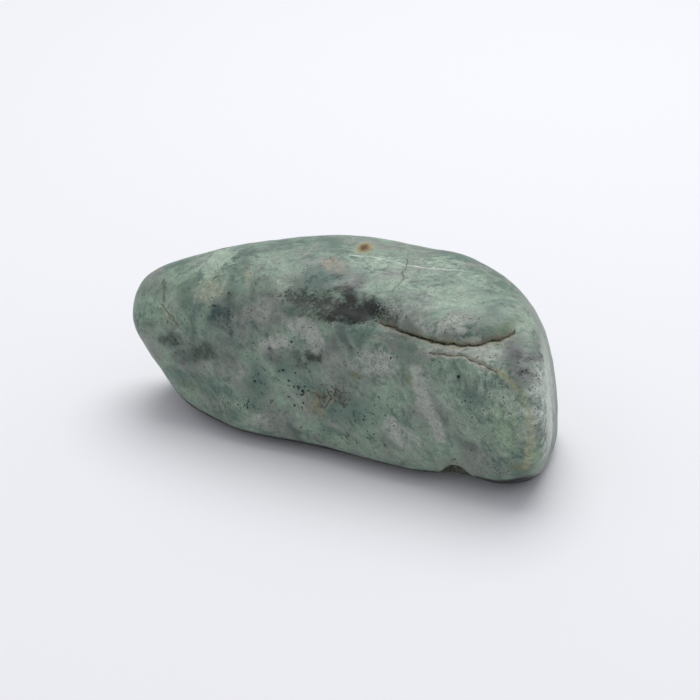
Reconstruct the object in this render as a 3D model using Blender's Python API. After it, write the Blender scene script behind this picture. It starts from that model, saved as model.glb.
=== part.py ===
"""A raw jade boulder: one water-worn stone, about 130 mm long, lying on its flat underside.

The stone is a blocky fragment whose corners a river has rounded off. Each flat side of the old
fragment is a plane at its own distance from the middle of the stone, and the planes are blended
into one closed surface. The worn forms are then pushed in or out along that surface's normals:
a raised lip with an open seam along its foot, a lower seam, a chip in the bottom edge, pits, and
broad swells, hollows and waves. The lowest part is worn flat.

+X runs along the stone to its blunt end, -Y is its broad front and +Z is up. The origin is
under the middle of the stone's box, on the surface that it lies on. Sizes are in millimetres
until the mesh is finished, and metres from there on.
"""

import bmesh
import bpy
import numpy as np

MILLIMETRE = 0.001
OBJECT_NAME = "raw_jade_boulder"
NODE_NAME = "boulder"

# The plain stone. Each side has the turn of its normal from +X and its tilt up from level, both
# in degrees, and its distance from the middle.
MIDDLE = np.array((0.0, -2.5, 24.6))
SIDES = {
    "underside": (0, -90, 25.0),
    "front": (-92, 4, 22.5),
    "front_below": (-93, -52, 30.6),
    "front_above": (-86, 50, 28.0),
    "front_left_above": (-112, 50, 33.0),
    "front_right_below": (-58, -42, 50.0),
    "crown": (-60, 84, 28.0),
    "back_left": (113, 8, 25.0),
    "back_right": (75, 8, 31.0),
    "back_above": (92, 58, 34.4),
    "back_left_above": (133, 62, 35.2),
    "back_below": (95, -50, 33.0),
    "blunt_shoulder": (52, 48, 46.6),
    "blunt_end_above": (41, 30, 52.5),
    "blunt_end": (15, 11, 59.0),
    "blunt_end_below": (2, -16, 68.2),
    "nose": (188, 6, 68.1),
    "nose_above": (160, 46, 58.7),
    "nose_below": (-148, -34, 51.0),
}
SHARPNESS = 13  # of the edges where the sides meet

# Broad swells, and hollows where the height is below zero: centre, spread, height
SWELLS = {
    "bottom_hollow": ((42.0, -25.0, 3.0), 9.0, -1.7),
    "crown_hump": ((25.0, 13.5, 51.5), 10.0, 1.2),
    "toe": ((-26.0, -24.0, 4.5), 9.0, 0.8),
}

# Slow waves of the whole surface: the way they run, as turn and tilt, their length and height
WAVE_START = np.array((0.0, -2.5, 0.0))
WAVES = (
    ((20, 10), 37.0, 0.30),
    ((75, -30), 29.0, 0.25),
    ((-40, 50), 23.0, 0.20),
    ((110, 5), 19.0, 0.15),
    ((5, 70), 17.0, 0.10),
)

# The raised lip on the front's upper right, and the seam that curls round the foot of it
LIP_CROWN = np.array((31.0, -2.5, 52.0))
LIP_SEAM = (
    (14.1, -19.8, 45.8), (18.6, -19.9, 45.5), (24.4, -20.6, 44.6), (30.9, -20.8, 44.0),
    (38.5, -20.3, 44.0), (44.5, -19.1, 44.7), (48.5, -16.9, 45.8), (52.2, -13.7, 47.1),
    (52.3, -12.2, 47.7), (50.9, -10.4, 48.4),
)
LIP_HEIGHT = 1.5
LIP_ROUNDING = 2.2  # how far from the seam it reaches its height
LIP_BREADTH = 12.0  # over which it fades into the crown
LIP_START = 8.0  # where it begins to rise, along X
LIP_RUNOUT = 10.0

# Forms along a route: the route, the half width and the depth, below zero for a ridge
GROOVES = {
    "lip_seam": (LIP_SEAM, 0.6, 1.0),
    "lip_foot": (LIP_SEAM, 3.0, 0.35),
    "dark_valley": (
        ((-12.0, -18.2, 47.8), (-4.0, -18.0, 48.1), (6.0, -17.9, 47.8), (14.0, -18.1, 47.2),
         (22.0, -19.5, 45.3)),
        4.0, 0.8,
    ),
    "lower_seam": (
        ((28.0, -23.7, 40.3), (35.4, -23.1, 41.2), (40.3, -22.7, 41.6), (46.3, -23.3, 40.5),
         (52.1, -23.6, 39.6)),
        0.6, 0.5,
    ),
    "panel_edge": (
        ((54.7, -24.5, 37.9), (59.5, -25.7, 33.0), (61.8, -26.0, 26.0), (62.3, -25.7, 18.0),
         (61.3, -23.3, 9.5)),
        2.6, -0.45,
    ),
    "stained_crack": (
        ((2.0, -25.3, 24.5), (3.3, -25.4, 21.3), (1.4, -25.4, 17.8)),
        0.4, 0.4,
    ),
    "stained_crack_right": (
        ((4.0, -25.3, 23.9), (6.0, -25.4, 22.6), (7.4, -25.5, 19.8)),
        0.4, 0.35,
    ),
}
END_SHARE = 0.14  # share of a groove's length over which each end runs out

# A bite out of the front's bottom edge, left by a flake that broke away
CHIP_CENTRE = np.array((40.4, -28.7, 4.6))
CHIP_RADIUS = 4.4

PITS = (
    (-11.2, -24.6, 19.7), (-7.7, -24.7, 20.6), (-5.2, -24.8, 20.6), (-10.2, -24.5, 21.8),
    (-5.7, -25.0, 15.6), (-21.6, -25.9, 12.7), (-28.2, -25.6, 9.4), (2.7, -25.6, 8.9),
    (16.3, -26.5, 19.3), (51.9, -23.8, 39.9), (37.0, -26.6, 12.5), (-50.0, -20.3, 36.6),
)
PIT_HALF_WIDTH = 0.4
PIT_DEPTH = 0.5

# The mesh is a ball with a cube's faces, cut into a grid and drawn out as the stone is. Edges
# near the fine forms are halved, once for each reach.
GRID = 25
DRAWN_OUT = np.array((60.0, 26.0, 26.0))
FINE_REACHES = (3.0, 1.4)
FINE_HALF_WIDTH = 1.0  # grooves narrower than this are fine forms
FLAT_SNAP = 0.12  # points this near the worn flat lie on it
CREASE = np.radians(45)  # edges sharper than this stay sharp when shaded

JADE_GREEN = (0.20, 0.265, 0.21, 1.0)
JADE_ROUGHNESS = 0.36


def heading(turn, tilt):
    """Unit vector turned from +X in plan and tilted up from level, in degrees."""
    turn, tilt = np.radians(turn), np.radians(tilt)
    return np.cos(turn) * np.cos(tilt), np.sin(turn) * np.cos(tilt), np.sin(tilt)


def unit(vectors):
    return vectors / np.linalg.norm(vectors, axis=1, keepdims=True)


def distance_to(points, place):
    return np.linalg.norm(points - np.array(place), axis=1)


def bell(distance, spread):
    return np.exp(-(distance / spread) ** 2)


def smooth_step(value):
    value = np.clip(value, 0, 1)
    return value * value * (3 - 2 * value)


def plain_stone(rays):
    """Where rays from the middle leave the blended sides, and the normals there."""
    normals = np.array([heading(turn, tilt) for turn, tilt, _ in SIDES.values()])
    distances = np.array([distance for _, _, distance in SIDES.values()])
    reach = np.maximum(rays @ normals.T, 0) / distances
    radius = (reach ** SHARPNESS).sum(axis=1) ** (-1 / SHARPNESS)
    lean = reach ** (SHARPNESS - 1) @ (normals / distances[:, None])
    return MIDDLE + rays * radius[:, None], unit(lean)


def nearest_on_route(points, route):
    """Nearest place on a route to each point, its distance, and its share of the length."""
    starts = np.array(route[:-1])
    legs = np.diff(np.array(route), axis=0)
    lengths = np.linalg.norm(legs, axis=1)
    along = ((points[:, None] - starts) * legs).sum(axis=2) / lengths ** 2
    along = np.clip(along, 0, 1)
    spots = starts + along[..., None] * legs
    gaps = np.linalg.norm(points[:, None] - spots, axis=2)
    row, leg = np.arange(len(points)), gaps.argmin(axis=1)
    before = np.cumsum(lengths) - lengths
    travelled = (before[leg] + along[row, leg] * lengths[leg]) / lengths.sum()
    return spots[row, leg], gaps[row, leg], travelled


def lip_height(points):
    """The lip rises inward of its seam and fades into the crown and past its left end."""
    spots, gaps, _ = nearest_on_route(points, LIP_SEAM)
    inward = distance_to(spots, LIP_CROWN) - distance_to(points, LIP_CROWN)
    risen = 1 - bell(np.maximum(inward, 0), LIP_ROUNDING)
    begun = smooth_step((points[:, 0] - LIP_START) / LIP_RUNOUT)
    return LIP_HEIGHT * risen * begun * bell(gaps, LIP_BREADTH)


def groove_depth(points, route, half_width, depth):
    _, gaps, travelled = nearest_on_route(points, route)
    full = smooth_step(np.minimum(travelled, 1 - travelled) / END_SHARE)
    return depth * full * bell(gaps, half_width)


def worn_height(points):
    """How far the worn forms lift the plain stone's surface at each point."""
    height = lip_height(points)
    for centre, spread, lift in SWELLS.values():
        height += lift * bell(distance_to(points, centre), spread)
    for (turn, tilt), length, rise in WAVES:
        travel = (points - WAVE_START) @ heading(turn, tilt)
        height += rise * np.sin(2 * np.pi * travel / length)
    for groove in GROOVES.values():
        height -= groove_depth(points, *groove)
    for pit in PITS:
        height -= PIT_DEPTH * bell(distance_to(points, pit), PIT_HALF_WIDTH)
    height -= np.maximum(CHIP_RADIUS - distance_to(points, CHIP_CENTRE), 0)
    return height


def drawn_out_ball():
    """A cube cut into a grid, blown up to a ball and drawn out along X."""
    mesh = bmesh.new()
    bmesh.ops.create_cube(mesh, size=2)
    bmesh.ops.subdivide_edges(mesh, edges=mesh.edges[:], cuts=GRID - 1, use_grid_fill=True)
    corners = np.array([vert.co for vert in mesh.verts])
    evened = unit(np.tan(corners * np.pi / 4))
    for vert, place in zip(mesh.verts, evened * DRAWN_OUT):
        vert.co = place
    return mesh


def rays_of(mesh):
    return unit(np.array([vert.co for vert in mesh.verts]))


def halve_near_fine_forms(mesh, reach):
    """Halves the edges within reach of a narrow groove, a pit or the chip."""
    points, _ = plain_stone(rays_of(mesh))
    near = distance_to(points, CHIP_CENTRE) < CHIP_RADIUS + reach / 2
    for route, half_width, _ in GROOVES.values():
        if half_width < FINE_HALF_WIDTH:
            near |= nearest_on_route(points, route)[1] < reach
    for pit in PITS:
        near |= distance_to(points, pit) < reach
    mesh.verts.index_update()
    edges = [edge for edge in mesh.edges if any(near[vert.index] for vert in edge.verts)]
    bmesh.ops.subdivide_edges(mesh, edges=edges, cuts=1, use_grid_fill=True)


def wear_flat(mesh):
    """Cuts the stone off at the surface that it lies on, and closes the cut with a flat face."""
    whole = mesh.verts[:] + mesh.edges[:] + mesh.faces[:]
    bmesh.ops.bisect_plane(mesh, geom=whole, plane_co=(0, 0, 0), plane_no=(0, 0, 1),
                           clear_inner=True)
    rim = [edge for edge in mesh.edges if edge.is_boundary]
    bmesh.ops.holes_fill(mesh, edges=rim)
    bmesh.ops.triangulate(mesh, faces=mesh.faces[:])


def shape_stone():
    mesh = drawn_out_ball()
    for reach in FINE_REACHES:
        halve_near_fine_forms(mesh, reach)
    bmesh.ops.triangulate(mesh, faces=mesh.faces[:])
    points, normals = plain_stone(rays_of(mesh))
    points += normals * worn_height(points)[:, None]
    points[:, :2] -= (points.min(axis=0) + points.max(axis=0))[:2] / 2
    points[np.abs(points[:, 2]) < FLAT_SNAP, 2] = 0
    for vert, point in zip(mesh.verts, points * MILLIMETRE):
        vert.co = point
    wear_flat(mesh)
    return mesh


def jade():
    material = bpy.data.materials.new("jade")
    material.use_nodes = True
    shader = material.node_tree.nodes["Principled BSDF"]
    shader.inputs["Base Color"].default_value = JADE_GREEN
    shader.inputs["Roughness"].default_value = JADE_ROUGHNESS
    shader.inputs["Metallic"].default_value = 0.0
    return material


def add_boulder(collection):
    shaped = shape_stone()
    mesh = bpy.data.meshes.new(NODE_NAME)
    shaped.to_mesh(mesh)
    shaped.free()
    mesh.shade_smooth()
    mesh.set_sharp_from_angle(angle=CREASE)
    mesh.materials.append(jade())
    collection.objects.link(bpy.data.objects.new(NODE_NAME, mesh))


for leftover in list(bpy.data.objects):
    bpy.data.objects.remove(leftover, do_unlink=True)

parts = bpy.data.collections.new(OBJECT_NAME)
bpy.context.scene.collection.children.link(parts)
add_boulder(parts)
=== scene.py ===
"""A raw jade boulder on a pale studio floor: worn skin, seams, pits, stains and mottled jade."""

import bmesh
import bpy
import numpy as np
from mathutils import Euler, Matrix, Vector


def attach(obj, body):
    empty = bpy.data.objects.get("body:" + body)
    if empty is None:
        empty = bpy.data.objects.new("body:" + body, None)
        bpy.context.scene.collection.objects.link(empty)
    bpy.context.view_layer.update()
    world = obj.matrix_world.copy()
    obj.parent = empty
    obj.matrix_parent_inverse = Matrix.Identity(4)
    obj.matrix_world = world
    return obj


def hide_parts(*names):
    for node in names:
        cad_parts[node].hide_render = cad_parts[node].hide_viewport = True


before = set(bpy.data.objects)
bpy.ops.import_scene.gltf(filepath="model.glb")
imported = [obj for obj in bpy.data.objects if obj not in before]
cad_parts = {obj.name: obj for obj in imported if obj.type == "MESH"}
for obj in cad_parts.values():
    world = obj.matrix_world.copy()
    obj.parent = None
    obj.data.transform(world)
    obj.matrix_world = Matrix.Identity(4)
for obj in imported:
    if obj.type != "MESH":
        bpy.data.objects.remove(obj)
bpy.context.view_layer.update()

MM = 0.001


# THE BOULDER'S SHAPE. A blocky fragment of jadeite rock whose corners a river rolled off: each
# flat side of the fragment is a plane, and the planes blend into one closed surface. Swells,
# slow waves, a raised lip, seams, a chip and pits are worked into it along its normals.

MIDDLE = Vector((0.0, -2.5, 24.6)) * MM
HALF_HEIGHT = 25.0 * MM
SIDES = {  # turn of the side's normal from +X, its tilt up from level, its distance in mm
    "underside": (0, -90, 25.0),
    "front": (-92, 4, 22.5),
    "front_below": (-93, -52, 30.6),
    "front_above": (-86, 50, 28.0),
    "front_left_above": (-112, 50, 33.0),
    "front_right_below": (-58, -42, 50.0),
    "crown": (-60, 84, 28.0),
    "back_left": (113, 8, 25.0),
    "back_right": (75, 8, 31.0),
    "back_above": (92, 58, 34.4),
    "back_left_above": (133, 62, 35.2),
    "back_below": (95, -50, 33.0),
    "blunt_shoulder": (52, 48, 46.6),
    "blunt_end_above": (41, 30, 52.5),
    "blunt_end": (15, 11, 59.0),
    "blunt_end_below": (2, -16, 68.2),
    "nose": (188, 6, 68.1),
    "nose_above": (160, 46, 58.7),
    "nose_below": (-148, -34, 51.0),
}
SWELLS = {  # centre and spread in mm, height in mm, below zero for a hollow
    "bottom_hollow": ((42.0, -25.0, 3.0), 9.0, -1.7),
    "crown_hump": ((25.0, 13.5, 51.5), 10.0, 1.2),
    "toe": ((-26.0, -24.0, 4.5), 9.0, 0.8),
}
WAVE_START = Vector((0.0, -2.5, 0.0)) * MM
WAVES = (  # turn and tilt of the way they run, length and height in mm
    ((20, 10), 37.0, 0.30),
    ((75, -30), 29.0, 0.25),
    ((-40, 50), 23.0, 0.20),
    ((110, 5), 19.0, 0.15),
    ((5, 70), 17.0, 0.10),
)
LIP_CROWN = Vector((31.0, -2.5, 52.0)) * MM
CHIP_CENTRE = Vector((40.4, -28.7, 4.6)) * MM
CHIP_RADIUS = 4.4 * MM
FLAKE_CENTRE = Vector((40.6, -25.6, 3.6)) * MM  # a sharper flake lost from the chip's edge
FLAKE_REACH = Vector((0.72, 1.0, 1.1))  # what a step along each axis counts for
ROUTES = {  # the places that each long form passes through, in mm
    "lip seam": (
        (14, -20, 46), (18.5, -20, 45.5), (24.5, -20.5, 44.5), (31, -21, 44), (38.5, -20.5, 44),
        (44.5, -19, 44.5), (48.5, -17, 46), (52, -13.5, 47), (52, -11.5, 48)),
    "dark valley": (
        (-15, -18.5, 47), (-4, -18, 48), (6, -18, 48), (14, -18, 47), (22, -19.5, 45.5)),
    "lower seam": (
        (30, -22.5, 40.5), (34, -22.5, 40.5), (38.5, -22, 41), (41, -22, 41.5), (45, -23, 40.5),
        (52, -24, 39.5)),
    "panel edge": (
        (48.5, -23, 40), (53, -24, 39), (58, -25.5, 36), (60.5, -26, 31.5), (62, -27, 23.5),
        (61.5, -27, 19.5), (60.5, -26, 11)),
    "stained crack": ((2, -25, 24.5), (3.5, -25, 21.5), (1.5, -25, 18)),
    "stained crack right": ((4, -25, 24), (6, -25, 22.5), (7.5, -25, 20)),
    "nose crack": ((-52, -19.5, 37.5), (-49, -21, 36), (-47, -21.5, 34.5), (-44, -22.5, 31.5)),
    "nose streak": ((-54.5, -12.5, 41.5), (-52, -16, 40), (-51, -18.5, 38.5), (-50.5, -19.5, 37.5)),
    "black streak": (
        (2, -17, 47), (6.5, -18, 46.5), (10, -18.5, 46), (12.5, -17.5, 46.5), (15, -16, 48.5)),
    "hairline": (
        (14, 6, 52.5), (15.5, 1.5, 52), (15.5, -2, 52), (16.5, -5, 52), (16.5, -8.5, 51),
        (15.5, -12.5, 50.5)),
    "white line": (
        (-3, -0.5, 53.5), (5.5, 1.5, 53), (10.5, 2, 53), (15, 1.5, 52.5), (20.5, 2, 52.5),
        (33, 5, 52)),
    "white vein": (
        (28, -24, 37.5), (28.5, -24.5, 35), (29, -25.5, 33), (31, -26, 27.5), (35, -26.5, 20.5),
        (37, -26.5, 15)),
    "back vein": (
        (-50, 4, 15), (-36, 9.5, 19), (-20, 16, 24), (-6, 22, 29), (8, 26, 32), (22, 22.5, 40)),
    "back crack": ((36, 21, 8), (33, 22, 18), (35, 20.5, 26), (33, 20, 37)),
}
GROOVES = {  # route, half width and depth in mm, below zero for a ridge
    "lip seam": ("lip seam", 0.6, 1.0),
    "lip foot": ("lip seam", 3.0, 0.35),
    "dark valley": ("dark valley", 4.0, 0.8),
    "lower seam": ("lower seam", 0.6, 0.5),
    "panel edge": ("panel edge", 2.6, -0.45),
    "stained crack": ("stained crack", 0.45, 0.4),
    "stained crack right": ("stained crack right", 0.4, 0.35),
    "hairline": ("hairline", 0.35, 0.18),
    "nose crack": ("nose crack", 0.35, 0.12),
    "white line": ("white line", 0.4, -0.04),
    "back crack": ("back crack", 0.4, 0.25),
}
TRACES = (  # what the skin shows of each route: mark, route, half width in mm
    ("lip line", "lip seam", 0.42),
    ("lip stain", "lip seam", 1.8),
    ("lower line", "lower seam", 0.35),
    ("lower stain", "lower seam", 1.3),
    ("crack line", "stained crack", 0.45),
    ("crack line", "stained crack right", 0.4),
    ("crack line", "nose crack", 0.28),
    ("crack line", "hairline", 0.3),
    ("crack line", "back crack", 0.35),
    ("crack stain", "nose crack", 1.6),
    ("crack stain", "stained crack", 1.2),
    ("nose streak", "nose streak", 0.7),
    ("white line", "white line", 0.38),
    ("white line", "back vein", 0.4),
    ("white vein", "white vein", 2.3),
    ("valley shade", "dark valley", 3.6),
    ("black streak", "black streak", 2.0),
    ("ridge stain", "panel edge", 1.4),
)
PITS = (
    (-11.5, -24.5, 26.5), (-11, -24.5, 19.5), (-10, -24.5, 22), (-8, -24.5, 20.5),
    (-5.5, -25, 21.5), (-6, -25, 20), (-5.5, -25, 15.5), (-21.5, -26, 12.5),
    (-20.5, -26, 11), (-27.5, -26, 9), (-20.5, -24.5, 21), (3, -25.5, 8.5),
    (-9, -23.5, 36), (8, -26, 23), (16.5, -26.5, 20), (40.5, -25, 36.5),
    (46, -27, 30), (47.5, -27, 29.5), (37, -26.5, 12.5), (52, -24, 40),
    (16, 24.5, 18), (18, 24.5, 15.5), (-33, 11, 37),
)
FORM_SIZES = {  # the named inputs of the boulder's node tree
    "Sharpness": 13.0,
    "Lip Height": 1.5 * MM,
    "Lip Rounding": 2.2 * MM,
    "Lip Breadth": 12.0 * MM,
    "Lip Start": 8.0 * MM,
    "Lip Runout": 10.0 * MM,
    "End Share": 0.14,
    "Pit Depth": 0.5 * MM,
    "Pit Half Width": 0.4 * MM,
    "Chip Radius": CHIP_RADIUS,
    "Flake Radius": 3.3 * MM,
    "Worn Edge": 0.5 * MM,
    "Dent Width": 7.0 * MM,
    "Dent Depth": 0.30 * MM,
    "Grain Width": 1.9 * MM,
    "Grain Depth": 0.07 * MM,
    "Crumble Width": 1.1 * MM,
    "Crumble Reach": 1.3 * MM,
    "Crumble Depth": 0.55 * MM,
}

# The jade: grey, teal and mint jadeite crystals drawn out along the bed of the rock, with
# clouds of lilac, dark amphibole smoke, and stains let in by the cracks.
COLOURS = {  # as painted swatches, 0 to 255
    "mint": (131, 151, 133),
    "pale mint": (154, 172, 153),
    "teal": (89, 112, 101),
    "deep teal": (50, 72, 69),
    "lilac": (128, 132, 125),
    "pale lilac": (156, 161, 152),
    "smoke": (83, 91, 86),
    "dark moss": (63, 76, 66),
    "moss": (90, 110, 92),
    "charcoal": (44, 49, 44),
    "black jade": (21, 23, 21),
    "purple": (93, 96, 94),
    "leaf": (136, 157, 131),
    "olive": (104, 110, 84),
    "cream": (150, 157, 136),
    "tan": (130, 127, 106),
    "peach": (150, 143, 124),
    "brown": (72, 65, 52),
    "rust": (140, 113, 52),
    "umber": (62, 44, 22),
    "straw": (164, 164, 126),
    "white": (188, 196, 186),
    "ink": (18, 21, 19),
}
PATCH_SIDES = {  # the axis that a side faces along, where its patches lie on it, their half depth
    "front": (1, -22.0, 12.0),
    "back": (1, 18.0, 14.0),
    "top": (2, 51.0, 9.0),
    "blunt end": (0, 62.0, 16.0),
    "nose": (0, -56.0, 9.0),
}
PATCHES = {  # centre, half length and half width in mm, lean in degrees, colour, strength
    "front": (
        ((-37, 44), (5, 3), 10, "cream", 0.6),
        ((-44, 41), (4.5, 2.5), 80, "moss", 0.6),
        ((-47, 33), (3.5, 1.5), -50, "cream", 0.5),
        ((-48, 28), (3.5, 2.5), 10, "dark moss", 0.8),
        ((-51, 22), (3, 2.5), 5, "lilac", 0.5),
        ((-50, 42), (4, 4), 0, "leaf", 0.5),
        ((-32, 38), (4, 3.5), 70, "deep teal", 0.65),
        ((-29, 35), (4, 2.5), -80, "deep teal", 0.65),
        ((-29, 43), (3.5, 2.5), 10, "smoke", 0.75),
        ((-17, 43), (7, 5), 10, "lilac", 1.0),
        ((-16, 42), (6, 3.5), 10, "pale lilac", 0.35),
        ((-24, 44), (3, 2), 25, "lilac", 0.6),
        ((-14, 41), (3, 2), 90, "smoke", 0.4),
        ((-7, 41), (6.5, 3), -20, "pale lilac", 0.8),
        ((-21, 47), (5.5, 2), 15, "smoke", 0.6),
        ((-16, 49), (3.5, 1), -80, "pale mint", 0.5),
        ((-12, 48), (4, 2.5), 85, "moss", 0.6),
        ((-14, 34), (4.5, 2.8), 30, "pale lilac", 1.2),
        ((-2, 38), (3.5, 3), -5, "pale lilac", 0.95),
        ((-37, 26), (6.5, 3.2), 30, "dark moss", 0.85),
        ((-44, 23), (3, 2.5), 40, "smoke", 0.8),
        ((-40, 29), (2, 2), -50, "smoke", 0.6),
        ((-28, 27), (3.5, 2.5), 10, "dark moss", 0.55),
        ((-24, 32), (4.5, 1), 25, "smoke", 0.45),
        ((-15, 30), (3, 2), -15, "smoke", 0.6),
        ((-7, 31), (3, 2.5), -50, "charcoal", 0.6),
        ((-2, 33), (3, 2.5), 25, "charcoal", 0.75),
        ((-36, 10), (4, 3), -15, "lilac", 0.55),
        ((-42, 14), (4, 3.5), -70, "olive", 0.4),
        ((-20, 20), (8.5, 4), -85, "teal", 0.7),
        ((-10, 27), (4.5, 3), -25, "teal", 0.65),
        ((-19, 9), (4, 2.5), 15, "pale lilac", 0.7),
        ((-8, 8), (3, 2), -40, "smoke", 0.7),
        ((-14, 7), (3.5, 3), 45, "lilac", 0.6),
        ((-1, 19), (4.5, 3), -80, "tan", 0.75),
        ((5, 23), (6, 4), 20, "brown", 0.5),
        ((11, 30), (3.5, 0.7), 5, "olive", 0.7),
        ((7, 37), (7, 5.5), 0, "lilac", 0.5),
        ((17, 35), (7.5, 4.5), 10, "pale lilac", 0.65),
        ((24, 40), (6, 3), -5, "smoke", 0.5),
        ((7, 39), (3.5, 1.5), -55, "smoke", 0.75),
        ((4, 38), (2.5, 1.5), -65, "smoke", 0.55),
        ((12, 41), (2.5, 2), 55, "teal", 0.6),
        ((10, 19), (8.5, 5.5), 20, "teal", 0.7),
        ((21, 25), (6, 5), 55, "mint", 0.75),
        ((30, 30), (4, 2), -70, "mint", 0.5),
        ((7, 8), (4.5, 2.5), 0, "leaf", 0.5),
        ((21, 12), (7, 2), -10, "deep teal", 0.4),
        ((25, 15), (6, 3), -35, "pale lilac", 0.85),
        ((27, 34), (3, 1.3), -85, "olive", 0.9),
        ((37, 33), (7, 5), -35, "mint", 0.8),
        ((45, 32), (3.5, 2), 10, "deep teal", 0.45),
        ((36, 23), (5, 1.5), -60, "smoke", 0.8),
        ((44, 23), (7, 6), -40, "mint", 0.65),
        ((44, 17), (4, 2.5), 0, "smoke", 0.6),
        ((55, 26), (9, 5), -85, "leaf", 0.8),
        ((49, 14), (7, 3.5), 0, "lilac", 0.7),
        ((54, 43), (6, 3.5), -75, "purple", 0.85),
        ((56, 39), (4, 2), -70, "purple", 0.7),
        ((53, 47), (5.5, 2.5), -80, "olive", 0.6),
        ((49, 47), (3.5, 1.5), 40, "olive", 0.8),
        # painted shade: this smoke patch darkens the shadow under the lip's overhang
        ((24, 44), (4, 1.5), -10, "smoke", 0.8),
        ((16, 46), (3.5, 1.5), 0, "tan", 0.5),
        ((-9, 46), (6, 2.5), 10, "dark moss", 0.8),
        ((-2, 46), (5.5, 3), 10, "charcoal", 0.8),
        ((7, 47), (6, 2.8), 5, "black jade", 1.3),
        ((35, 46), (11, 1.5), 10, "lilac", 0.7),
        ((42, 43), (12.5, 2.2), 5, "pale lilac", 0.95),
        ((58, 43), (6, 2.5), -75, "purple", 0.7),
        ((59, 13), (4.5, 2.5), 5, "olive", 0.6),
        ((-8, 20), (6, 5.5), 30, "pepper", 1.0),
        ((-10, 26), (3, 3), 0, "pepper", 0.8),
        ((45, 31), (4, 3), 10, "pepper", 0.8),
        ((46, 17), (5, 3.5), 0, "pepper", 0.4),
        ((-21, 13), (2.5, 2.5), 0, "pepper", 0.7),
        ((15, 16), (7, 5), 0, "pepper", 0.5),
        ((4, 23), (4, 3), 0, "pepper", 0.6),
        ((-36, 26), (5, 4), 0, "pepper", 0.45),
    ),
    "back": (
        ((-30, 30), (9, 5), 30, "deep teal", 0.5),
        ((-12, 20), (8, 4), -25, "pale lilac", 0.8),
        ((8, 36), (10, 3), -15, "dark moss", 0.7),
        ((25, 20), (9, 6), 40, "pale mint", 0.6),
        ((42, 34), (6, 4), -60, "smoke", 0.8),
        ((-44, 18), (6, 4), 20, "lilac", 0.8),
        ((2, 10), (9, 3), 5, "leaf", 0.6),
        ((30, 40), (6, 2), 10, "charcoal", 0.6),
        ((-20, 40), (6, 3), -10, "dark moss", 0.6),
        ((-8, 40), (6, 3), 10, "pale mint", 0.7),
        ((-52, 32), (5, 3), 30, "smoke", 0.7),
        ((48, 20), (7, 3), -20, "purple", 0.6),
        ((15, 14), (6, 5), 0, "pepper", 0.8),
        ((-32, 38), (5, 4), 0, "pepper", 0.7),
    ),
    "top": (
        ((-39, -9), (7, 5.5), 80, "pale mint", 1.0),
        ((-47, -11), (6.5, 3.5), 75, "mint", 0.6),
        ((-26, -10), (6, 4), 10, "mint", 0.6),
        ((-5, -11), (7, 5), 40, "teal", 0.85),
        ((-5, -11), (6, 4), 40, "deep teal", 0.5),
        ((-8, 5), (5, 2.5), -70, "teal", 0.8),
        ((-3, -6), (3.5, 2.5), -15, "peach", 0.6),
        ((-28, -12), (4.5, 1.5), -70, "smoke", 0.55),
        ((-28, -6), (4.5, 1.5), 40, "smoke", 0.5),
        ((-19, -1), (3.5, 1.5), 55, "smoke", 0.45),
        ((-26, -15), (4, 1), -65, "cream", 0.75),
        ((3, -16), (3.5, 3), 20, "charcoal", 0.7),
        ((14, -16), (3, 2.5), -70, "charcoal", 0.5),
        ((5, -12), (5.5, 3.5), 85, "purple", 0.7),
        ((-3, -14), (5, 1.5), 20, "lilac", 0.5),
        ((6, 0), (7, 5), 20, "pale mint", 0.6),
        ((14, -8), (6, 4), 20, "mint", 0.6),
        ((20, -17), (3.5, 2), -40, "pale lilac", 0.75),
        ((32, -18), (9, 2), 15, "pale lilac", 0.85),
        ((27, -2), (9.5, 2.5), 12, "teal", 0.35),
        ((28, -3), (16, 7), 18, "pale mint", 0.4),
        ((34, -10), (9.5, 2.5), 20, "pale mint", 0.45),
        ((24, 6), (9, 3.5), 15, "pale mint", 0.5),
        ((39, -2), (6, 2), 10, "teal", 0.5),
        ((44, -2), (6, 5), 20, "mint", 0.6),
        ((45, -10), (4, 3), -30, "teal", 0.7),
        ((40, -13), (3, 2), 60, "lilac", 0.6),
        ((54, -9), (7, 4), -60, "pale mint", 0.7),
        ((23, 13), (3, 1.5), 0, "smoke", 0.5),
    ),
    "blunt end": (
        # partly the blunt end's own pale haze, partly painted light: these two white patches also
        # stand in for the side light and sheen that brighten this end
        ((-18, 30), (16, 7), -80, "white", 0.95),
        ((-25, 18), (8.5, 3.5), -50, "leaf", 0.5),
        ((-8, 32), (12, 6), -75, "white", 0.6),
        ((4, 15), (7, 4), -60, "dark moss", 0.6),
    ),
    "nose": (
        ((-17, 36), (10, 5), -60, "mint", 0.8),
        ((-16, 40), (7.5, 3), -60, "smoke", 0.5),
    ),
}
RUST_PLACE = Vector((1.0, 6.0, 53.0)) * MM
RUST_REACH = Vector((1.0, 0.55, 0.3))  # what a step along each axis counts for
RUST_SPREAD = 2.2 * MM
PAINTED = (  # the order they are laid over each other
    "mint", "pale mint", "teal", "leaf", "moss", "lilac", "pale lilac", "white", "cream",
    "peach", "tan", "olive", "smoke", "purple", "dark moss", "deep teal", "brown", "charcoal",
    "black jade")
GRID = 104  # cuts across each face of the cube that the ball is blown from
DRAWN_OUT = np.array((60.0, 26.0, 26.0))
FINE_REACHES = (2.0 * MM, 1.0 * MM)
NARROW = 1.0  # half width in mm below which a groove needs the finer faces
CHAIN_STEP = 0.4 * MM  # between the points of a route's chain
BELOW_SKIN = 12.0 * MM  # how far off the skin a route still marks it
TRACE_END = 0.06  # share of a route over which its trace fades in and out
WAVER_WIDTH, WAVER = 3.0 * MM, 2.2 * MM  # how a route's edges wander
RAGGED, CHIPPED = 1.7 * MM, 5.0 * MM  # how pits and the flake do
WARP_WIDTH, WARP = 5.0 * MM, 8.0 * MM  # how the patches do
EVEN = (0.5, 0.5, 0.5)  # the middle of a colour noise


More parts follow.
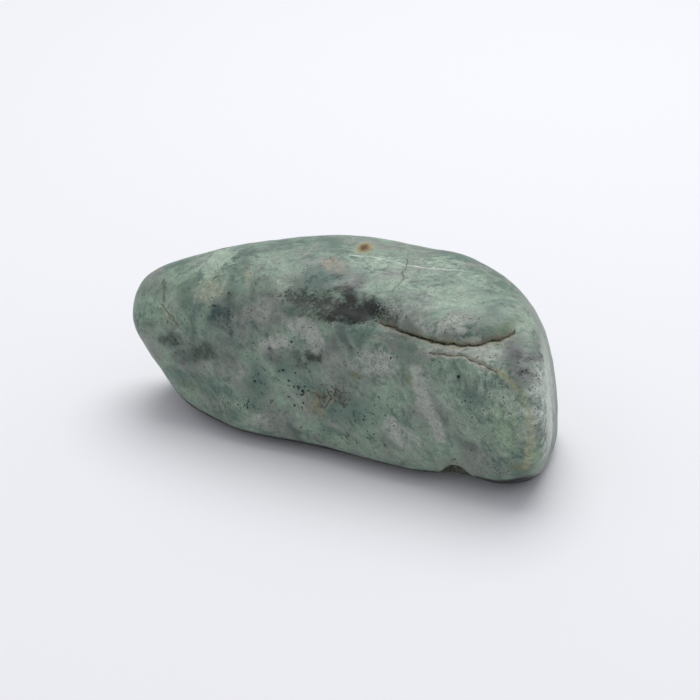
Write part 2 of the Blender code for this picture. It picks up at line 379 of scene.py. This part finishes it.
def heading(turn, tilt):
    """Unit vector turned from +X in plan and tilted up from level, in degrees."""
    return Euler((0, -np.radians(tilt), np.radians(turn))).to_matrix() @ Vector((1, 0, 0))


class Wire:
    """A node's output that Python's operators work on: each adds one Math node, or one Vector
    Math node where a vector takes part."""

    def __init__(self, bench, socket):
        self.bench, self.socket = bench, socket

    def __add__(self, other):
        return self.bench.maths("ADD", self, other)

    def __sub__(self, other):
        return self.bench.maths("SUBTRACT", self, other)

    def __mul__(self, other):
        return self.bench.maths("MULTIPLY", self, other)

    def __truediv__(self, other):
        return self.bench.maths("DIVIDE", self, other)

    def __pow__(self, other):
        return self.bench.maths("POWER", self, other)

    def __rsub__(self, other):
        return self.bench.maths("SUBTRACT", other, self)

    def __rtruediv__(self, other):
        return self.bench.maths("DIVIDE", other, self)

    __radd__, __rmul__ = __add__, __mul__


class Bench:
    """Adds nodes to one tree."""

    def __init__(self, tree):
        self.tree = tree

    def add(self, kind, settings=None, sockets=None, out=0):
        """One node of a kind: its settings first, then the values or wires of its sockets."""
        node = self.tree.nodes.new(kind)
        for name, value in (settings or {}).items():
            setattr(node, name, value)
        names = [socket.identifier for socket in node.inputs]
        for name, value in (sockets or {}).items():
            socket = node.inputs[name if isinstance(name, int) else names.index(name)]
            if isinstance(value, Wire):
                self.tree.links.new(value.socket, socket)
            else:
                socket.default_value = value
        return Wire(self, node.outputs[out])

    def maths(self, operation, *terms):
        """A Math node, or a Vector Math node where a term is a vector."""
        vectors = [is_vector(term) for term in terms]
        if not any(vectors):
            return self.add("ShaderNodeMath", {"operation": operation}, dict(enumerate(terms)))
        if operation == "MULTIPLY" and not all(vectors):
            place, size = terms if vectors[0] else reversed(terms)
            return self.add("ShaderNodeVectorMath", {"operation": "SCALE"},
                            {"Vector": place, "Scale": size})
        out = 1 if operation in ("DOT_PRODUCT", "LENGTH", "DISTANCE") else 0
        return self.add("ShaderNodeVectorMath", {"operation": operation},
                        dict(enumerate(terms)), out)

    def smooth_step(self, value, start=0.0, end=1.0):
        """Rises smoothly from 0 at the start to 1 at the end."""
        return self.add("ShaderNodeMapRange", {"interpolation_type": "SMOOTHSTEP"},
                        {"Value": value, "From Min": start, "From Max": end})

    def bell(self, distance, spread):
        """1 at no distance, and faded to about a third at the spread."""
        share = distance / spread
        return self.maths("EXPONENT", share * share * -1.0)


def is_vector(term):
    if isinstance(term, Wire):
        return term.socket.type == "VECTOR"
    return isinstance(term, (tuple, Vector))


def drawn_out_ball():
    """A cube cut into a grid, blown up to a ball and drawn out as the stone is. Edges near its
    narrow grooves, pits and chip are halved, once for each reach."""
    shaped = bmesh.new()
    bmesh.ops.create_cube(shaped, size=2)
    bmesh.ops.subdivide_edges(shaped, edges=shaped.edges[:], cuts=GRID - 1, use_grid_fill=True)
    rays = unit(unit(np.tan(points_of(shaped) * np.pi / 4)) * DRAWN_OUT)
    put(shaped, rays)
    fine = [spot for route, width, _ in GROOVES.values() if width < NARROW
            for spot in between(ROUTES[route])]
    fine = np.array(fine + list(PITS)) * MM
    chip = np.array(CHIP_CENTRE)
    for reach in FINE_REACHES:
        rays = points_of(shaped)
        near = np.zeros(len(rays), bool)
        for place, room in [(spot, reach) for spot in fine] + [(chip, CHIP_RADIUS + reach)]:
            arm = place - np.array(MIDDLE)
            near |= np.linalg.norm(rays * np.linalg.norm(arm) - arm, axis=1) < room
        shaped.verts.index_update()
        edges = [edge for edge in shaped.edges if any(near[vert.index] for vert in edge.verts)]
        bmesh.ops.subdivide_edges(shaped, edges=edges, cuts=1, use_grid_fill=True)
        put(shaped, unit(points_of(shaped)))
    mesh = bpy.data.meshes.new("boulder")
    shaped.to_mesh(mesh)
    shaped.free()
    return mesh


def points_of(shaped):
    return np.array([vert.co for vert in shaped.verts])


def put(shaped, points):
    for vert, point in zip(shaped.verts, points):
        vert.co = point


def unit(vectors):
    return vectors / np.linalg.norm(vectors, axis=1, keepdims=True)


def between(route, step=0.5):
    """Places along a route, a step in mm apart."""
    spots = []
    for start, end in zip(np.array(route[:-1]), np.array(route[1:])):
        count = int(np.ceil(np.linalg.norm(end - start) / step))
        spots += [start + (end - start) * k / count for k in range(count)]
    return spots + [np.array(route[-1])]


def route_object(name):
    """A curve object along a route, for the node tree to read."""
    curve = bpy.data.curves.new(name, "CURVE")
    curve.dimensions = "3D"
    spline = curve.splines.new("POLY")
    spline.points.add(len(ROUTES[name]) - 1)
    for point, place in zip(spline.points, ROUTES[name]):
        point.co = (*(Vector(place) * MM), 1)
    holder = bpy.data.objects.new(name, curve)
    bpy.context.scene.collection.objects.link(holder)
    return holder


tree = bpy.data.node_groups.new("worn stone", "GeometryNodeTree")
bench = Bench(tree)
tree.interface.new_socket("Geometry", in_out="INPUT", socket_type="NodeSocketGeometry")
tree.interface.new_socket("Geometry", in_out="OUTPUT", socket_type="NodeSocketGeometry")
keys = {}
for name in FORM_SIZES:
    keys[name] = tree.interface.new_socket(
        name, in_out="INPUT", socket_type="NodeSocketFloat").identifier
for name in ROUTES:
    keys[name] = tree.interface.new_socket(
        name.title(), in_out="INPUT", socket_type="NodeSocketObject").identifier
keys["Jade"] = tree.interface.new_socket(
    "Jade", in_out="INPUT", socket_type="NodeSocketMaterial").identifier
inputs = tree.nodes.new("NodeGroupInput")
given = {name: Wire(bench, next(s for s in inputs.outputs if s.identifier == key))
         for name, key in keys.items()}
ball = Wire(bench, inputs.outputs[0])

# the blended sides
ray = bench.add("GeometryNodeInputPosition")
shares, pushes = [], []
for turn, tilt, distance in SIDES.values():
    normal = heading(turn, tilt) * (HALF_HEIGHT / (distance * MM))
    reach = bench.maths("MAXIMUM", bench.maths("DOT_PRODUCT", ray, normal), 0.0)
    steep = reach ** (given["Sharpness"] - 1.0)
    shares.append(steep * reach)
    pushes.append(steep * normal)
radius = HALF_HEIGHT * sum(shares[1:], shares[0]) ** (-1.0 / given["Sharpness"])
place = ray * radius + MIDDLE
outward = bench.maths("NORMALIZE", sum(pushes[1:], pushes[0]))


def chain(name):
    """A route as a chain of points that know their share of its length."""
    line = bench.add("GeometryNodeObjectInfo", None, {"Object": given[name]}, out=4)
    line = bench.add("GeometryNodeResampleCurve", {"mode": "LENGTH"},
                     {"Curve": line, "Length": CHAIN_STEP})
    share = bench.add("GeometryNodeSplineParameter")
    line = bench.add("GeometryNodeStoreNamedAttribute", None,
                     {"Geometry": line, "Name": "share", "Value": share})
    return bench.add("GeometryNodeCurveToMesh", None, {"Curve": line})


jitter = bench.add("ShaderNodeTexNoise", {"noise_dimensions": "4D"},
                   {"Vector": place, "W": 21.0, "Scale": 1.0 / WAVER_WIDTH, "Detail": 3.0}, 1)
wavering = place + (jitter - EVEN) * WAVER


def beside(line, place):
    """The nearest place on a line, how far beside it this place lies (what lies above or below
    it doesn't count, up to BELOW_SKIN) and the share of the line's length there."""
    near = bench.add("GeometryNodeProximity", {"target_element": "EDGES"},
                     {"Target": line, "Source Position": place})
    gap = Wire(bench, near.socket.node.outputs["Distance"])
    index = bench.add("GeometryNodeSampleNearest", None,
                      {"Geometry": line, "Sample Position": place})
    stored = bench.add("GeometryNodeInputNamedAttribute", None, {"Name": "share"})
    share = bench.add("GeometryNodeSampleIndex", None,
                      {"Geometry": line, "Value": stored, "Index": index})
    arm = near - place
    beside_it = arm - bench.maths("DOT_PRODUCT", arm, outward) * outward
    gap = bench.maths("LENGTH", beside_it) + bench.maths("MAXIMUM", gap - BELOW_SKIN, 0.0) * 10.0
    return near, gap, share


measured = {name: beside(chain(name), wavering) for name in ROUTES}

# the raised lip over its open seam
spot, gap, _ = measured["lip seam"]
inward = bench.maths("DISTANCE", spot, LIP_CROWN) - bench.maths("DISTANCE", place, LIP_CROWN)
risen = 1.0 - bench.bell(bench.maths("MAXIMUM", inward, 0.0), given["Lip Rounding"])
along_x = bench.maths("DOT_PRODUCT", place, (1.0, 0.0, 0.0))
begun = bench.smooth_step((along_x - given["Lip Start"]) / given["Lip Runout"])
height = given["Lip Height"] * risen * begun * bench.bell(gap, given["Lip Breadth"])

# swells, waves, grooves, pits, dents, grain, crumbled edges, and the bite with its flake
for centre, spread, lift in SWELLS.values():
    away = bench.maths("DISTANCE", place, Vector(centre) * MM)
    height = height + lift * MM * bench.bell(away, spread * MM)
for (turn, tilt), length, rise in WAVES:
    travel = bench.maths("DOT_PRODUCT", place - WAVE_START, heading(turn, tilt))
    height = height + rise * MM * bench.maths("SINE", travel * (2 * np.pi / (length * MM)))
for route, half_width, depth in GROOVES.values():
    _, gap, share = measured[route]
    ends = bench.smooth_step(bench.maths("MINIMUM", share, 1.0 - share) / given["End Share"])
    height = height - depth * MM * ends * bench.bell(gap, half_width * MM)
for pit in PITS:
    away = bench.maths("DISTANCE", place, Vector(pit) * MM)
    height = height - given["Pit Depth"] * bench.bell(away, given["Pit Half Width"])
for width, depth, turn in (("Dent Width", "Dent Depth", 3.0), ("Grain Width", "Grain Depth", 8.0)):
    rough = bench.add("ShaderNodeTexNoise", {"noise_dimensions": "4D"},
                      {"Vector": place, "W": turn, "Scale": 1.0 / given[width], "Detail": 2.0})
    height = height + (rough - 0.5) * 2.0 * given[depth]
crumbled = bench.add("ShaderNodeTexNoise", {"noise_dimensions": "4D"},
                     {"Vector": place, "W": 31.0, "Scale": 1.0 / given["Crumble Width"],
                      "Detail": 3.0}) - 0.5
for route in ("lip seam", "lower seam"):
    _, gap, share = measured[route]
    ends = bench.smooth_step(bench.maths("MINIMUM", share, 1.0 - share) / given["End Share"])
    crumbs_here = ends * bench.bell(gap, given["Crumble Reach"])
    height = height + crumbled * crumbs_here * 2.0 * given["Crumble Depth"]
bite = given["Chip Radius"] - bench.maths("DISTANCE", place, CHIP_CENTRE)
height = height - bench.maths("MAXIMUM", bite, 0.0)
ragged = place + (jitter - EVEN) * RAGGED
chipped = place + (jitter - EVEN) * CHIPPED
flake = given["Flake Radius"] - bench.maths("LENGTH", (chipped - FLAKE_CENTRE) * FLAKE_REACH)
height = height - bench.maths("MAXIMUM", flake, 0.0) * 1.2

# what the skin tells the jade: pits, painted shade along the foot, rust, flake, routes and patches
pitted = 0.0
for pit in PITS:
    away = bench.maths("DISTANCE", ragged, Vector(pit) * MM)
    pitted = bench.maths("MAXIMUM", pitted, bench.bell(away, 0.5 * MM))
# painted shade on the faces that turn down to the floor, fading out on the worn flat underneath
facing_down = bench.maths("DOT_PRODUCT", outward, (0.0, 0.0, -1.0))
underneath = bench.smooth_step(facing_down, 0.92, 0.99)
foot = bench.smooth_step(facing_down, 0.40, 0.72) * (1.0 - underneath * 0.8)
rusted = bench.bell(bench.maths("LENGTH", (ragged - RUST_PLACE) * RUST_REACH), RUST_SPREAD)
marks = {
    "pits": pitted,
    "foot": foot,
    "rust": rusted,
    "flake": bench.smooth_step(flake, 0.0, 0.5 * MM),
    "flake rim": bench.bell(flake + 0.5 * MM, 0.5 * MM),
    "lip way": measured["lip seam"][2],
}
for name, route, half_width in TRACES:
    _, gap, share = measured[route]
    ends = bench.smooth_step(bench.maths("MINIMUM", share, 1.0 - share) / TRACE_END)
    mark = ends * bench.bell(gap, half_width * MM)
    marks[name] = bench.maths("MAXIMUM", marks[name], mark) if name in marks else mark
warp = bench.add("ShaderNodeTexNoise", {"noise_dimensions": "4D"},
                 {"Vector": place, "W": 11.0, "Scale": 1.0 / WARP_WIDTH, "Detail": 3.0}, 1)
warped = place + (warp - EVEN) * WARP

# a patch: how far a place lies inside an ellipsoid, from 0 to its strength
patch = bpy.data.node_groups.new("patch", "GeometryNodeTree")
kinds = {"Place": "Vector", "Centre": "Vector", "Half Sizes": "Vector", "Turn": "Rotation",
         "Strength": "Float"}
for name, kind in kinds.items():
    patch.interface.new_socket(name, in_out="INPUT", socket_type="NodeSocket" + kind)
patch.interface.new_socket("Share", in_out="OUTPUT", socket_type="NodeSocketFloat")
patch_bench = Bench(patch)
handed = patch.nodes.new("NodeGroupInput").outputs
handed = {name: Wire(patch_bench, handed[name]) for name in kinds}
laid = patch_bench.add("FunctionNodeCombineTransform", None,
                       {"Translation": handed["Centre"], "Rotation": handed["Turn"],
                        "Scale": handed["Half Sizes"]})
laid = patch_bench.add("FunctionNodeInvertMatrix", None, {0: laid})
reached = patch_bench.add("FunctionNodeTransformPoint", None,
                          {"Vector": handed["Place"], "Transform": laid})
share = patch_bench.smooth_step(patch_bench.maths("LENGTH", reached), 1.8, 0.2) * handed["Strength"]
patch.links.new(share.socket, patch.nodes.new("NodeGroupOutput").inputs[0])
for side, patches in PATCHES.items():
    axis, level, depth = PATCH_SIDES[side]
    for spots, halves, lean, name, strength in patches:
        centre, sizes, turn = list(spots), list(halves), [0.0, 0.0, 0.0]
        centre.insert(axis, level)
        sizes.insert(axis, depth)
        turn[axis] = np.radians(-lean if axis == 1 else lean)
        share = bench.add("GeometryNodeGroup", {"node_tree": patch},
                          {0: warped, 1: Vector(centre) * MM, 2: Vector(sizes) * MM,
                           3: Euler(turn), 4: strength})
        marks[name] = bench.maths("MAXIMUM", marks[name], share) if name in marks else share

# the ball takes the marks and the shape, and its underside is worn flat
stone = ball
for name, mark in marks.items():
    stone = bench.add("GeometryNodeStoreNamedAttribute", None,
                      {"Geometry": stone, "Name": name, "Value": mark})
stone = bench.add("GeometryNodeSetPosition", None,
                  {"Geometry": stone, "Position": place + outward * height})
position = bench.add("GeometryNodeInputPosition")
split = bench.add("ShaderNodeSeparateXYZ", None, {0: position})
node = split.socket.node
level = bench.maths("SMOOTH_MAX", Wire(bench, node.outputs[2]), 0.0, given["Worn Edge"])
flat = bench.add("ShaderNodeCombineXYZ", None,
                 {"X": Wire(bench, node.outputs[0]), "Y": Wire(bench, node.outputs[1]), "Z": level})
stone = bench.add("GeometryNodeSetPosition", None, {"Geometry": stone, "Position": flat})
stone = bench.add("GeometryNodeSetShadeSmooth", None, {0: stone})
stone = bench.add("GeometryNodeRealizeInstances", None, {0: stone})
stone = bench.add("GeometryNodeSetMaterial", None,
                  {"Geometry": stone, "Material": given["Jade"]})
out = tree.nodes.new("NodeGroupOutput")
tree.links.new(stone.socket, out.inputs[0])

BED_ACROSS = Vector((0.308, -0.88, 0.362)).normalized()  # the crystals lie thin this way
BED_ALONG = Vector((1.0, 0.0, -0.85)).normalized()  # and are drawn out this way


def swatch(name):
    """A swatch's colour as the light-linear values that a shader takes."""
    shades = [((value / 255 + 0.055) / 1.055) ** 2.4 for value in COLOURS[name]]
    return (*shades, 1.0)


jade = bpy.data.materials.new("jade")
jade.use_nodes = True
shop = Bench(jade.node_tree)
shader = jade.node_tree.nodes["Principled BSDF"]
spot = shop.add("ShaderNodeTexCoord", out=3) * (1 / MM)


def cloud(place, size, turn, detail=3.0, roughness=0.5, out=0):
    """Noise from 0 to 1 with forms of a size in mm."""
    return shop.add("ShaderNodeTexNoise", {"noise_dimensions": "4D"},
                    {"Vector": place, "W": turn, "Scale": 1.0 / size, "Detail": detail,
                     "Roughness": roughness}, out)


def paint(base, colour, share):
    """Lays a colour over another by a share from 0 to 1."""
    return shop.add("ShaderNodeMix", {"data_type": "RGBA"},
                    {"Factor_Float": share, "A_Color": base, "B_Color": colour}, 2)


def trace(name):
    """How strongly the skin bears a mark here."""
    return shop.add("ShaderNodeAttribute", {"attribute_name": name}, out=2)


wander = (cloud(spot, 7.0, 1.0, 2.0, 0.5, 1) - EVEN) * 5.0
soft = spot + wander
across = shop.maths("DOT_PRODUCT", soft, BED_ACROSS)
along = shop.maths("DOT_PRODUCT", soft, BED_ALONG)
bedded = soft + across * 1.0 * BED_ACROSS - along * 0.15 * BED_ALONG
straight_across = shop.maths("DOT_PRODUCT", spot, BED_ACROSS)
straight_along = shop.maths("DOT_PRODUCT", spot, BED_ALONG)
fine_bedded = spot + wander * 0.35 + straight_across * 1.1 * BED_ACROSS
clouds = cloud(soft, 11.0, 2.0, 3.0, 0.5)
hazes = cloud(bedded, 8.0, 3.0, 3.0, 0.5)
smokes = cloud(bedded, 5.0, 4.0, 4.0, 0.6)
drift = cloud(bedded, 3.0, 5.0, 4.0, 0.6)
crumbs = cloud(fine_bedded, 1.5, 6.0, 4.0, 0.65)
sand = cloud(fine_bedded, 0.7, 7.0, 2.0, 0.5)

# the ground colours and the fine pale lines
colour = swatch("teal")
colour = paint(colour, swatch("mint"), shop.smooth_step(clouds + (drift - 0.5) * 0.8, 0.30, 0.66))
hazy = shop.smooth_step(hazes + (crumbs - 0.5) * 0.4, 0.44, 0.66)
colour = paint(colour, swatch("lilac"), hazy * 0.8)
smoky = shop.smooth_step(smokes + (crumbs - 0.5) * 0.4, 0.55, 0.80)
colour = paint(colour, swatch("dark moss"), smoky * 0.6)
mottle = cloud(soft, 2.6, 13.0, 4.0, 0.65)
colour = paint(colour, swatch("dark moss"), shop.smooth_step(mottle, 0.54, 0.72) * 0.5)
colour = paint(colour, swatch("pale lilac"), shop.smooth_step(mottle, 0.45, 0.28) * 0.35)
drawn_along = straight_across * BED_ACROSS - straight_along * 0.85 * BED_ALONG
lines = cloud(spot + wander * 0.1 + drawn_along, 6.0, 12.0, 1.0, 0.4)
lines = shop.smooth_step(shop.maths("ABSOLUTE", lines - 0.5), 0.030, 0.0)
colour = paint(colour, swatch("white"), lines * shop.smooth_step(hazes, 0.46, 0.62) * 0.2)

# the patches, with noise in their edges
edge = (drift - 0.5) * 1.6 + (smokes - 0.5) * 1.3 + (crumbs - 0.5) * 1.4 + (sand - 0.5) * 0.6
for name in PAINTED:
    field = trace(name)
    colour = paint(colour, swatch(name),
                   shop.smooth_step(field + edge * shop.smooth_step(field, 0.0, 0.4), 0.05, 1.0))

# the rusty spot: a dark core, a golden ring and a pale halo
rusty = trace("rust") + (crumbs - 0.5) * 0.5 * shop.smooth_step(trace("rust"), 0.0, 0.3)
colour = paint(colour, swatch("cream"), shop.smooth_step(rusty, 0.0, 0.40) * 0.65)
colour = paint(colour, swatch("rust"), shop.smooth_step(rusty, 0.28, 0.80) * 0.9)
colour = paint(colour, swatch("umber"), shop.smooth_step(rusty, 0.62, 0.98) * 0.95)

# seams, cracks and veins
grain = (crumbs - 0.5) * 1.4


def drawn(name, rough, start, end):
    """How strongly a line shows: its edges broken by the grain, nothing away from it."""
    line = trace(name)
    return shop.smooth_step(line + rough * shop.smooth_step(line, 0.0, 0.3), start, end)


stained = edge * 0.8
coarse = sand - 0.5
shaded = trace("valley shade") + edge * 0.8 + coarse * 2.2
colour = paint(colour, swatch("charcoal"), shop.smooth_step(shaded, 0.15, 1.25) * 0.9)
veined = trace("white vein") + stained * 0.6
colour = paint(colour, swatch("pale lilac"), shop.smooth_step(veined, 0.15, 0.8) * 0.9)
streaked = trace("black streak") + edge * 0.9 + coarse * 2.4
colour = paint(colour, swatch("black jade"), shop.smooth_step(streaked, 0.20, 1.0) * 0.95)
colour = paint(colour, swatch("white"), drawn("white line", grain * 0.8, 0.3, 0.9) * 0.6)
ridged = trace("ridge stain") + (drift - 0.5) * 0.8
colour = paint(colour, swatch("straw"), shop.smooth_step(ridged, 0.2, 1.0) * 0.45)
lip_stained = trace("lip stain") + stained * 0.8
colour = paint(colour, swatch("tan"), shop.smooth_step(lip_stained, 0.35, 1.0) * 0.75)
lower_stained = trace("lower stain") + stained * 0.8
colour = paint(colour, swatch("peach"), shop.smooth_step(lower_stained, 0.4, 1.1) * 0.55)
colour = paint(colour, swatch("brown"), drawn("lower line", grain * 2.0, 0.5, 1.0) * 0.7)
tangle = (cloud(spot, 1.5, 14.0, 2.0, 0.5, 1) - EVEN) * 1.6
webs = shop.add("ShaderNodeTexVoronoi", {"feature": "DISTANCE_TO_EDGE"},
                {"Vector": spot + wander * 0.4 + tangle, "Scale": 0.45})
laced = shop.smooth_step(webs + (sand - 0.5) * 0.16, 0.09, 0.02)
laced = laced * shop.smooth_step(trace("brown") + trace("tan") * 0.3, 0.15, 0.6)
colour = paint(colour, swatch("ink"), laced * 0.75)
crack_stained = trace("crack stain") + stained * 0.6
colour = paint(colour, swatch("cream"), shop.smooth_step(crack_stained, 0.3, 1.0) * 0.5)
colour = paint(colour, swatch("brown"), drawn("crack line", grain * 1.1, 0.4, 0.9) * 0.75)
colour = paint(colour, swatch("brown"), drawn("lip line", grain * 1.1, 0.35, 0.9) * 0.75)
thinning = 0.95 - trace("lip way") * 0.3  # the seam closes towards the blunt end
colour = paint(colour, swatch("ink"), drawn("lip line", grain * 2.4, 0.60, 1.1) * thinning)
colour = paint(colour, swatch("brown"), drawn("nose streak", grain * 1.2, 0.4, 1.0) * 0.6)
colour = paint(colour, swatch("ink"), shop.smooth_step(trace("pits"), 0.2, 0.6))

# soil held along the foot
# painted shade: faces turned down towards the floor are darkened with ink, standing in for the
# contact shadow under the stone
foot_shade_share = trace("foot") + (drift - 0.5) * 0.6
colour = paint(colour, swatch("ink"), shop.smooth_step(foot_shade_share, 0.2, 0.85))

colour = paint(colour, swatch("pale lilac"), trace("flake rim") * 0.6)
colour = paint(colour, swatch("olive"), trace("flake") * shop.smooth_step(crumbs, 0.35, 0.6) * 0.7)

# the light and dark of the grain
shade = 1.0 + (drift - 0.5) * 0.7 + (mottle - 0.5) * 0.8 + (crumbs - 0.5) * 1.2 + (sand - 0.5) * 0.9
shade = shop.add("ShaderNodeCombineColor", None, {0: shade, 1: shade, 2: shade})
colour = shop.add("ShaderNodeMix", {"data_type": "RGBA", "blend_type": "MULTIPLY"},
                  {"Factor_Float": 1.0, "A_Color": colour, "B_Color": shade}, 2)

# black crystals
flecks = shop.add("ShaderNodeTexVoronoi", {"feature": "F1"},
                  {"Vector": spot + wander * 0.3, "Scale": 0.62})
flecked = shop.smooth_step(trace("pepper"), 0.0, 0.7) * shop.smooth_step(mottle, 0.36, 0.60)
flecked = flecked * 0.40 + shop.smooth_step(smokes, 0.56, 0.70) * 0.14
specks = shop.smooth_step(crumbs + (smokes - 0.5) * 0.4, 0.79, 0.87)
colour = paint(colour, swatch("ink"), specks * 0.6)
peppered = shop.smooth_step(flecked - flecks + (sand - 0.5) * 0.6, 0.0, 0.10)
colour = paint(colour, swatch("ink"), peppered * 0.85)

shop.tree.links.new(colour.socket, shader.inputs["Base Color"])
gloss = 0.42 + (drift - 0.5) * 0.3
shop.tree.links.new(gloss.socket, shader.inputs["Roughness"])
bump = shop.add("ShaderNodeBump", None, {"Strength": 0.25, "Distance": 0.1 * MM,
                                         "Height": crumbs + cloud(spot, 0.5, 9.0, 2.0) * 0.4})
shop.tree.links.new(bump.socket, shader.inputs["Normal"])
shader.inputs["Specular IOR Level"].default_value = 0.35
shader.inputs["Subsurface Weight"].default_value = 0.1
shader.inputs["Subsurface Radius"].default_value = (0.6, 1.0, 0.75)
shader.inputs["Subsurface Scale"].default_value = 1.5 * MM

# the finished piece
draft = bpy.data.objects.new("boulder draft", drawn_out_ball())
bpy.context.scene.collection.objects.link(draft)
modifier = draft.modifiers.new("worn stone", "NODES")
modifier.node_group = tree
for name, value in FORM_SIZES.items():
    modifier[keys[name]] = value
holders = [route_object(name) for name in ROUTES]
for holder in holders:
    modifier[keys[holder.name]] = holder
modifier[keys["Jade"]] = jade
bpy.context.view_layer.update()
evaluated = draft.evaluated_get(bpy.context.evaluated_depsgraph_get())
mesh = bpy.data.meshes.new_from_object(evaluated)
boulder = bpy.data.objects.new("worn_boulder", mesh)
bpy.context.scene.collection.objects.link(boulder)
for used in holders + [draft]:
    bpy.data.objects.remove(used)
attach(boulder, "root")
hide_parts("boulder")


# THE FLOOR. A wide sheet of matt backdrop paper, laid flat. The stone lies loose on it.

FLOOR_WIDTH = 6.0
PAPER_COLOUR = (0.775, 0.775, 0.79, 1)

bpy.ops.mesh.primitive_plane_add(size=FLOOR_WIDTH)
floor = bpy.context.object
floor.name = "floor"
paper = bpy.data.materials.new("backdrop paper")
paper.use_nodes = True
sheet = paper.node_tree.nodes["Principled BSDF"]
sheet.inputs["Base Color"].default_value = PAPER_COLOUR
sheet.inputs["Roughness"].default_value = 0.8
floor.data.materials.append(paper)


# THE LIGHT. A white cloth tent glows evenly from all round, and a round softbox hangs above and
# a little behind the stone, aimed at its foot, so that the shadow falls towards the front.

TENT_COLOUR, TENT_GLOW = (0.93, 0.94, 1.0, 1), 0.64
SOFTBOX_PLACE = Vector((-0.02, 0.33, 0.92))
SOFTBOX_WIDTH, SOFTBOX_POWER = 0.9, 6.6

world = bpy.data.worlds.new("tent")
bpy.context.scene.world = world
world.use_nodes = True
cloth = world.node_tree.nodes["Background"]
cloth.inputs["Color"].default_value = TENT_COLOUR
cloth.inputs["Strength"].default_value = TENT_GLOW
lamp = bpy.data.lights.new("overhead softbox", "AREA")
lamp.shape = "DISK"
lamp.size = SOFTBOX_WIDTH
lamp.energy = SOFTBOX_POWER
overhead = bpy.data.objects.new("overhead softbox", lamp)
overhead.location = SOFTBOX_PLACE
overhead.rotation_euler = (-SOFTBOX_PLACE).to_track_quat("-Z", "Y").to_euler()
bpy.context.scene.collection.objects.link(overhead)


# THE CAMERA. It stands half a metre from the stone, turned to its blunt end and looking down on
# it, and takes in a view 22 degrees wide.

VIEW_TURN, VIEW_TILT, VIEW_WIDTH = np.radians((22.0, 30.0, 22.0))
AIM = Vector((0.0, -0.0025, 0.024))
STAND_OFF = 0.52
SENSOR = 36.0  # width in mm

level = np.cos(VIEW_TILT)
back = Vector((np.sin(VIEW_TURN) * level, -np.cos(VIEW_TURN) * level, np.sin(VIEW_TILT)))
lens = bpy.data.cameras.new("camera")
lens.sensor_width = SENSOR
lens.lens = SENSOR / 2 / np.tan(VIEW_WIDTH / 2)
camera = bpy.data.objects.new("camera", lens)
camera.location = AIM + back * STAND_OFF
camera.rotation_mode = "QUATERNION"
camera.rotation_quaternion = (-back).to_track_quat("-Z", "Y")
bpy.context.scene.collection.objects.link(camera)
bpy.context.scene.camera = camera
bpy.context.scene.view_settings.view_transform = "Standard"
